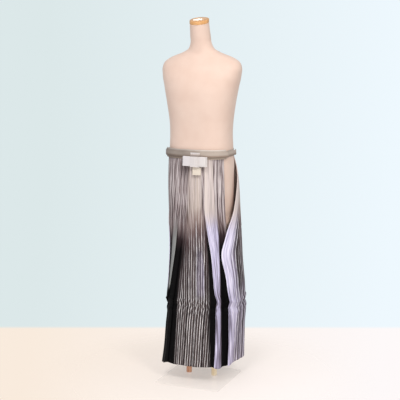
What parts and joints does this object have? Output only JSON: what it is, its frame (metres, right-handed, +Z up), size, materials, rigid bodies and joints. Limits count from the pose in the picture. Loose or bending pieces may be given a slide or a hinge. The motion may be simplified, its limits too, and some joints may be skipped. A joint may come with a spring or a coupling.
{
  "type": "hakama trousers on a dress form",
  "caption": "Pleated divided hakama with waistband, straps and folded front knot, hanging hollow round a limbless dress form on two posts and a square plate.",
  "frame": {"origin": "a point on the underside of the base plate, below the middle of the two posts", "axes": "+Z up, the front of the trousers faces -Y, the wearer's left is +X"},
  "size_m": [0.363, 0.3598, 1.6061],
  "materials": {
    "striped_cloth": "black silk with fine white and lilac stripes, slight sheen",
    "band_cloth": "pale beige silk, slight sheen",
    "white_cloth": "white silk, slight sheen",
    "form_cloth": "matt fine jersey",
    "cap_wood": "glossy lacquer",
    "post_wood": "satin lacquer",
    "plate_glass": "polished, slightly green"
  },
  "bodies": {
    "root": {"front_left": "striped_cloth", "front_right": "striped_cloth", "back_left": "striped_cloth", "back_right": "striped_cloth", "gusset_left": "striped_cloth", "gusset_right": "striped_cloth", "waistband_front": "band_cloth", "front_strap_wrap": "band_cloth", "back_strap_left": "white_cloth", "back_strap_right": "white_cloth", "back_board": "white_cloth", "knot_bar": "white_cloth", "knot_wrap": "white_cloth", "knot_tail": "white_cloth", "form_torso": "form_cloth", "form_neck_cap": "cap_wood", "form_base_board": "post_wood", "post_left": "post_wood", "post_right": "post_wood", "base_plate": "plate_glass"}
  },
  "joints": []
}
